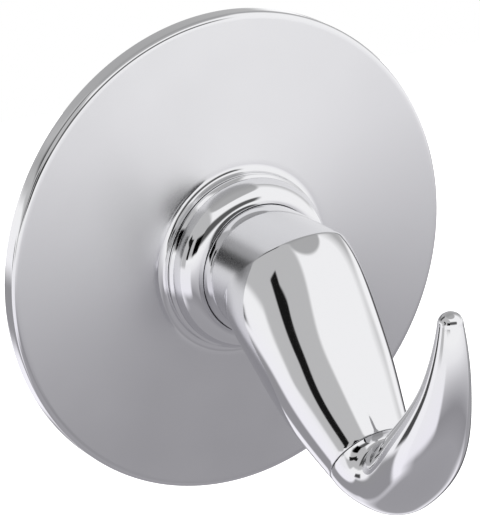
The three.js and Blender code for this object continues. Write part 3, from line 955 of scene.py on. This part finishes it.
class WALLHOOK_OT_bracket(Operator):
    """Makes the wall bracket: a pressed disc with countersunk holes and a welded, grooved post"""

    bl_idname = "wall_hook.bracket"
    bl_label = "Wall Bracket"

    def execute(self, context):
        settings = context.scene.wall_hook
        sizes = settings.fixing
        post, plate, groove, out = sizes.post_radius, sizes.plate, sizes.groove, sizes.grub_out
        edge = 0.1 * MM
        corners = [
            (0, 0, 0),
            (sizes.plate_radius, 0, 2 * edge),
            (sizes.plate_radius, plate, 5 * edge),
            (post + sizes.weld, plate, 0),
            (post, plate + sizes.weld, 0),
            (post, out - groove, edge),
            (post - groove, out, 2 * edge),
            (post, out + groove, edge),
            (post, POST_END - sizes.post_chamfer, edge),
            (post - sizes.post_chamfer, POST_END, edge),
            (0, POST_END, 0),
        ]
        bracket = mesh_object("bracket_disc", turned(rounded(corners, closed=False), HOOK_SIDES))
        hole = sizes.screw_radius + sizes.hole_gap
        head = sizes.screw_head + sizes.hole_gap
        recess = sizes.plug_radius + sizes.hole_gap
        recess_depth = 0.4 * MM
        spare = 1 * MM
        drill = [
            (0, -spare),
            (recess, -spare),
            (recess, recess_depth),
            (hole, recess_depth),
            (hole, plate - head + hole),
            (head, plate),
            (head, plate + spare),
            (0, plate + spare),
        ]
        points, faces = turned(drill, FIXING_SIDES)
        for _, side in ENDS:
            cut(bracket, (points + np.array((0, 0, side * sizes.spacing)), faces))
        finish(bracket, "wall_bracket", "bracket_steel", zinc_plated_steel(settings.finish))
        return {"FINISHED"}


class WALLHOOK_OT_wall_screws(Operator):
    """Makes the two countersunk wall screws with their threads and cross recesses"""

    bl_idname = "wall_hook.wall_screws"
    bl_label = "Wall Screws"

    def execute(self, context):
        settings = context.scene.wall_hook
        sizes = settings.fixing
        steel = plain_stainless_steel(settings.finish)
        radius, head = sizes.screw_radius, sizes.screw_head
        neck = SCREW_HEAD - head + radius
        shank = 2 * MM
        head_edge = 0.15 * MM
        head_round = 0.25 * MM
        corners = [
            (0, SCREW_POINT),
            (radius, SCREW_POINT + sizes.screw_tip),
            (radius, neck),
            (head - head_edge, SCREW_HEAD - head_edge),
            (head - head_round, SCREW_HEAD),
            (0, SCREW_HEAD),
        ]
        # Two slots that narrow to their bottom make the cross recess
        recess_depth = 1.7 * MM
        spare = 0.1 * MM
        long, wide = 2.1 * MM, 0.45 * MM
        foot = long * 0.35, wide * 0.74
        slot = tapered_box(SCREW_HEAD - recess_depth, SCREW_HEAD + spare, foot, (long, wide))
        crossed = (slot[0][:, (2, 1, 0)], [face[::-1] for face in slot[1]])
        thread = sizes.screw_thread
        for end, side in ENDS:
            screw = rod(f"screw_{end}", corners, sizes.screw_pitch / THREAD_STEPS)
            press_ridges(screw, steel, sizes.screw_pitch, thread, (SCREW_POINT, neck - shank), thread)
            cut(screw, slot, crossed)
            screw.data.transform(Matrix.Translation((0, 0, side * sizes.spacing)))
            finish(screw, f"wall_screw_{end}", "stainless_steel", steel)
        return {"FINISHED"}


class WALLHOOK_OT_wall_plugs(Operator):
    """Makes the two slit and barbed wall plugs"""

    bl_idname = "wall_hook.wall_plugs"
    bl_label = "Wall Plugs"

    def execute(self, context):
        settings = context.scene.wall_hook
        sizes = settings.fixing
        nylon = moulded_nylon(settings.finish)
        radius, bore, depth, pitch = sizes.plug_radius, sizes.plug_bore, sizes.plug_length, sizes.barb_pitch
        nose = 0.3 * MM
        edge = 0.2 * MM
        flare, funnel = 0.3 * MM, 0.5 * MM
        corners = [
            (bore, -depth),
            (radius - nose, -depth),
            (radius, -depth + 2 * nose),
            (radius, -edge),
            (radius - edge, 0),
            (bore + flare, 0),
            (bore, -funnel),
            (bore, -depth),
        ]
        spare = 1 * MM
        half = radius + spare, sizes.plug_slit / 2
        slit = tapered_box(-depth - spare, -sizes.plug_collar, half, half)
        barbed = -depth, -sizes.plug_collar + pitch
        core = radius - 0.35 * MM
        for end, side in ENDS:
            plug = rod(f"plug_{end}", corners, pitch / BARB_STEPS)
            cut(plug, slit)
            press_ridges(plug, nylon, pitch, sizes.barb, barbed, core, starts=0.0, lean=0.85)
            plug.data.transform(Matrix.Translation((0, 0, side * sizes.spacing)))
            finish(plug, f"wall_plug_{end}", "nylon", nylon)
        return {"FINISHED"}


class WALLHOOK_OT_joining_screws(Operator):
    """Makes the grub screw under the neck and the threaded stud inside the seam"""

    bl_idname = "wall_hook.joining_screws"
    bl_label = "Grub Screw and Stud"

    def execute(self, context):
        settings = context.scene.wall_hook
        hook, sizes = settings.hook, settings.fixing
        steel = plain_stainless_steel(settings.finish)
        skin_depth = 0.05 * MM

        radius, pitch = sizes.grub_radius, sizes.grub_pitch
        groove_gap = 0.3 * MM
        seat = sizes.post_radius - sizes.groove + groove_gap
        end = hook.neck_radius - radius
        bevel = 0.2 * MM
        corners = [
            (0, seat),
            (radius, seat + radius),
            (radius, end - bevel),
            (radius - bevel, end),
            (0, end),
        ]
        grub = rod("grub", corners, pitch / THREAD_STEPS)
        press_ridges(grub, steel, pitch, sizes.grub_thread, (seat + radius, end), radius - skin_depth)
        flat = sizes.grub_flats / math.sqrt(3)
        bottom = end - sizes.grub_socket
        drill_point = 0.3 * MM
        above = end + 1 * MM
        cut(grub, turned([(0, bottom - drill_point), (flat, bottom), (flat, above), (0, above)], 6))
        down = Matrix.Rotation(math.pi / 2, 4, "X")
        grub.data.transform(Matrix.Translation((0, -sizes.grub_out, 0)) @ down)
        finish(grub, "grub_screw", "stainless_steel", steel)

        radius, pitch = sizes.stud_radius, sizes.stud_pitch
        low, high = -sizes.stud_in_arm, sizes.stud_in_tip
        bevel = 0.4 * MM
        corners = [
            (0, low),
            (radius - bevel, low),
            (radius, low + bevel),
            (radius, high - bevel),
            (radius - bevel, high),
            (0, high),
        ]
        stud = rod("stud", corners, pitch / THREAD_STEPS)
        press_ridges(stud, steel, pitch, sizes.stud_thread, (low, high), radius - skin_depth)
        out, up, heading = along(hook, hook.arm_length)
        stud.data.transform(Matrix.Translation((0, -out, up)) @ Matrix.Rotation(-heading, 4, "X"))
        finish(stud, "joining_stud", "stainless_steel", steel)
        return {"FINISHED"}


class WALLHOOK_OT_seals(Operator):
    """Makes the collar's O-ring and the rubber ring behind the rosette's rim"""

    bl_idname = "wall_hook.seals"
    bl_label = "Seals"

    def execute(self, context):
        settings = context.scene.wall_hook
        rubber = moulded_epdm_rubber(settings.finish)
        low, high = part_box("rosette_o_ring")
        half = (high.y - low.y) / 2
        middle = -(high.y + low.y) / 2
        angles = np.linspace(0, 2 * math.pi, CURVE_STEPS)
        section = [(high.x - half + half * math.cos(a), middle + half * math.sin(a)) for a in angles]
        o_ring = mesh_object("neck_o_ring", turned(section, HOOK_SIDES))
        finish(o_ring, "rosette_o_ring", "rubber_seal", rubber)
        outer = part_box("wall_seal")[1].x
        width = 2.4 * MM
        inner = outer - width
        middle = (outer + inner) / 2
        notch = 0.35 * MM
        edge = 0.1 * MM
        outline = rounded(
            [
                (inner, 0, 2 * edge),
                (middle - notch, 0, edge),
                (middle, notch, edge),
                (middle + notch, 0, edge),
                (outer, 0, 2 * edge),
                (outer, SEAL_TOP, 4 * edge),
                (inner, SEAL_TOP, 4 * edge),
            ]
        )
        seal = mesh_object("rim_seal", turned(outline, COVER_SIDES))
        finish(seal, "wall_seal", "rubber_seal", rubber)
        return {"FINISHED"}


# Studio


def heading_vector(azimuth, elevation):
    """A direction: azimuth to the right of straight out from the wall, elevation above the horizon."""
    level = math.cos(elevation)
    return Vector((math.sin(azimuth) * level, -math.cos(azimuth) * level, math.sin(elevation)))


# Softboxes and black cards round the hook, each over those before it: azimuth, elevation, half width,
# half height and softness in degrees, brightness, and lean in degrees
CARDS = (
    ("camera side", -15, 23, 42, 12, 5, 0.12, 0),
    ("grey wall", -98, 34, 52, 28, 5, 0.6, 0),
    ("camera", -47, 16, 12, 10, 2, 0.0, 0),
    ("left flag", -140, 32, 10, 18, 4, 0.08, 0),
    ("white card", -116, -14, 14, 20, 4, 1.1, 0),
    ("left softbox", -76, -20, 26, 16, 6, 1.05, 0),
    ("grey foot", -93, 3, 11, 9, 3, 0.6, 0),
    ("horn flag", -134, -8, 8, 4, 2, 0.08, 0),
    ("under card", -147, -31, 15, 16, 4, 0.36, 0),
    ("black bar", -79.5, 14.5, 5, 11.5, 1, 0.01, 0),
    ("bar's bend", -88.5, 23, 7.5, 4.5, 1, 0.01, -28),
    ("right wall", 132, -24, 38, 15, 4, 0.4, 0),
    ("right flag", 128, -12, 6, 25, 3, 0.1, 0),
)

# Tones of the room from straight down (0) over the horizon (0.5) to straight up (1)
FRONT_TONES = (
    (0.0, 0.4),
    (0.146, 0.42),
    (0.25, 0.34),
    (0.337, 0.62),
    (0.43, 1.0),
    (0.5, 1.1),
    (0.925, 1.1),
    (0.942, 0.5),
)
BACK_TONES = ((0.0, 0.4), (0.1, 0.4), (0.17, 1.1), (0.52, 1.1), (0.575, 0.55), (1.0, 0.4))


def card_group():
    """A node group that lays one softbox or card over the light round the hook."""
    inputs = [("Behind", "Float")]
    inputs += [(name, "Vector") for name in ("Direction", "Ahead", "Right", "Up")]
    inputs += [(name, "Float") for name in ("Half Width", "Half Height", "Softness", "Brightness")]
    tree, given = new_group("ShaderNodeTree", "Studio Card", ("Light", "Float"), inputs)
    do = partial(calc, tree)

    def dot(name):
        inputs = {0: given["Direction"], 1: given[name]}
        return add_node(tree, "ShaderNodeVectorMath", inputs, operation="DOT_PRODUCT").outputs["Value"]

    ahead = do("MAXIMUM", dot("Ahead"), 1e-3)
    mask = do("GREATER_THAN", dot("Ahead"), 0.0)
    for way, size in (("Right", "Half Width"), ("Up", "Half Height")):
        offset = do("ABSOLUTE", do("DIVIDE", dot(way), ahead))
        near = do("SUBTRACT", given[size], given["Softness"])
        far = do("ADD", given[size], given["Softness"])
        inside = ranged(tree, offset, near, far, 1.0, 0.0, interpolation_type="SMOOTHSTEP")
        mask = do("MULTIPLY", mask, inside)
    add_node(tree, "NodeGroupOutput", {"Light": blend(tree, mask, given["Behind"], given["Brightness"])})
    return tree


def studio_world():
    """White behind the hook, and round it a pale room with cards, which the chrome mirrors."""
    world = bpy.data.worlds.new("studio")
    world.use_nodes = True
    tree = world.node_tree
    tree.nodes.clear()
    way = add_node(tree, "ShaderNodeTexCoord").outputs["Generated"]
    _, y, z = add_node(tree, "ShaderNodeSeparateXYZ", {0: way}).outputs
    height = ranged(tree, z, -1.0, 1.0)
    tones = []
    for stops in (FRONT_TONES, BACK_TONES):
        ramp = add_node(tree, "ShaderNodeValToRGB", {0: height})
        elements = ramp.color_ramp.elements
        elements.remove(elements[1])
        for index, (position, value) in enumerate(stops):
            stop = elements.new(position) if index else elements[0]
            stop.position = position
            stop.color = (value, value, value, 1)
        tones.append(add_node(tree, "ShaderNodeRGBToBW", {0: ramp.outputs[0]}).outputs[0])
    light = blend(tree, ranged(tree, y, -0.1, 0.3), *tones)
    group = card_group()
    for name, *angles, bright, lean in CARDS:
        azimuth, elevation, wide, high, soft = map(math.radians, angles)
        ahead = heading_vector(azimuth, elevation)
        right = Matrix.Rotation(math.radians(lean), 3, ahead) @ heading_vector(azimuth + math.pi / 2, 0)
        inputs = {
            "Behind": light,
            "Direction": way,
            "Ahead": ahead,
            "Right": right,
            "Up": ahead.cross(right),
            "Half Width": math.tan(wide),
            "Half Height": math.tan(high),
            "Softness": soft,
            "Brightness": bright,
        }
        light = add_node(tree, "ShaderNodeGroup", inputs, node_tree=group, label=name).outputs[0]
    # The floor's side of the room is faintly violet
    cast = blend_colours(tree, ranged(tree, z, 0.0, -0.5), (1, 1, 1, 1), (0.99, 0.975, 1.03, 1))
    tinted = add_node(tree, "ShaderNodeVectorMath", {0: cast, "Scale": light}, operation="SCALE").outputs[0]
    room = add_node(tree, "ShaderNodeBackground", {"Color": tinted}).outputs[0]
    white = add_node(tree, "ShaderNodeBackground", {"Color": (1, 1, 1, 1)}).outputs[0]
    seen = add_node(tree, "ShaderNodeLightPath").outputs["Is Camera Ray"]
    surface = add_node(tree, "ShaderNodeMixShader", {0: seen, 1: room, 2: white}).outputs[0]
    add_node(tree, "ShaderNodeOutputWorld", {"Surface": surface})
    return world


class WALLHOOK_OT_stage(Operator):
    """Sets the camera, the pale floor and the studio light"""

    bl_idname = "wall_hook.stage"
    bl_label = "Stage"

    def execute(self, context):
        scene = context.scene
        studio = scene.wall_hook.studio
        back = heading_vector(studio.azimuth, studio.elevation)
        right = heading_vector(studio.azimuth + math.pi / 2, 0)
        up = back.cross(right)
        target = right * studio.target_right + up * studio.target_up
        camera = bpy.data.objects.new("camera", bpy.data.cameras.new("camera"))
        camera.data.sensor_width = 36
        camera.data.lens = studio.lens
        camera.data.clip_start = 0.01
        camera.data.clip_end = 20
        turned_to = Matrix((right, up, back)).transposed().to_4x4()
        camera.matrix_world = Matrix.Translation(target + back * studio.distance) @ turned_to
        scene.collection.objects.link(camera)
        scene.camera = camera

        drop, reach = -studio.floor_drop, studio.floor_reach
        corners = [(x * reach, y * reach, drop) for x, y in ((-1, -1), (1, -1), (1, 1), (-1, 1))]
        floor = mesh_object("floor", (corners, [(0, 1, 2, 3)]))
        pale = bpy.data.materials.new("pale_floor")
        pale.use_nodes = True
        inputs = {
            "Base Color": linear("F4F4F4"),
            "Roughness": 0.9,
            "Emission Color": (1, 1, 1, 1),
            "Emission Strength": 1.0,
        }
        set_inputs(pale.node_tree, pale.node_tree.nodes["Principled BSDF"], inputs)
        floor.data.materials.append(pale)
        floor.visible_glossy = False
        floor.visible_diffuse = False

        scene.world = studio_world()
        scene.view_settings.view_transform = "Standard"
        return {"FINISHED"}


OPERATORS = (
    WALLHOOK_OT_rosette,
    WALLHOOK_OT_collar,
    WALLHOOK_OT_arm,
    WALLHOOK_OT_horn,
    WALLHOOK_OT_bracket,
    WALLHOOK_OT_wall_screws,
    WALLHOOK_OT_wall_plugs,
    WALLHOOK_OT_joining_screws,
    WALLHOOK_OT_seals,
    WALLHOOK_OT_stage,
)


class WALLHOOK_PT_sidebar(Panel):
    """Lists the hook's pieces and their sizes"""

    bl_idname = "WALLHOOK_PT_sidebar"
    bl_label = "Wall Hook"
    bl_space_type = "VIEW_3D"
    bl_region_type = "UI"
    bl_category = "Wall Hook"

    def draw(self, context):
        settings = context.scene.wall_hook
        for operator in OPERATORS:
            self.layout.operator(operator.bl_idname)
        for group in ("rosette", "collar", "hook", "fixing", "finish", "studio"):
            box = self.layout.box()
            box.label(text=group.title())
            sizes = getattr(settings, group)
            for name in sizes.__annotations__:
                box.prop(sizes, name)


CLASSES = (
    RosetteSizes,
    CollarSizes,
    HookSizes,
    FixingSizes,
    FinishColours,
    StudioSettings,
    WallHookSettings,
    *OPERATORS,
    WALLHOOK_PT_sidebar,
)


def register():
    for kind in CLASSES:
        bpy.utils.register_class(kind)
    bpy.types.Scene.wall_hook = PointerProperty(type=WallHookSettings)


def unregister():
    del bpy.types.Scene.wall_hook
    for kind in reversed(CLASSES):
        bpy.utils.unregister_class(kind)


def main():
    register()
    bpy.ops.wall_hook.rosette()
    bpy.ops.wall_hook.collar()
    bpy.ops.wall_hook.arm()
    bpy.ops.wall_hook.horn()
    bpy.ops.wall_hook.bracket()
    bpy.ops.wall_hook.wall_screws()
    bpy.ops.wall_hook.wall_plugs()
    bpy.ops.wall_hook.joining_screws()
    bpy.ops.wall_hook.seals()
    bpy.ops.wall_hook.stage()


if __name__ == "__main__":
    main()
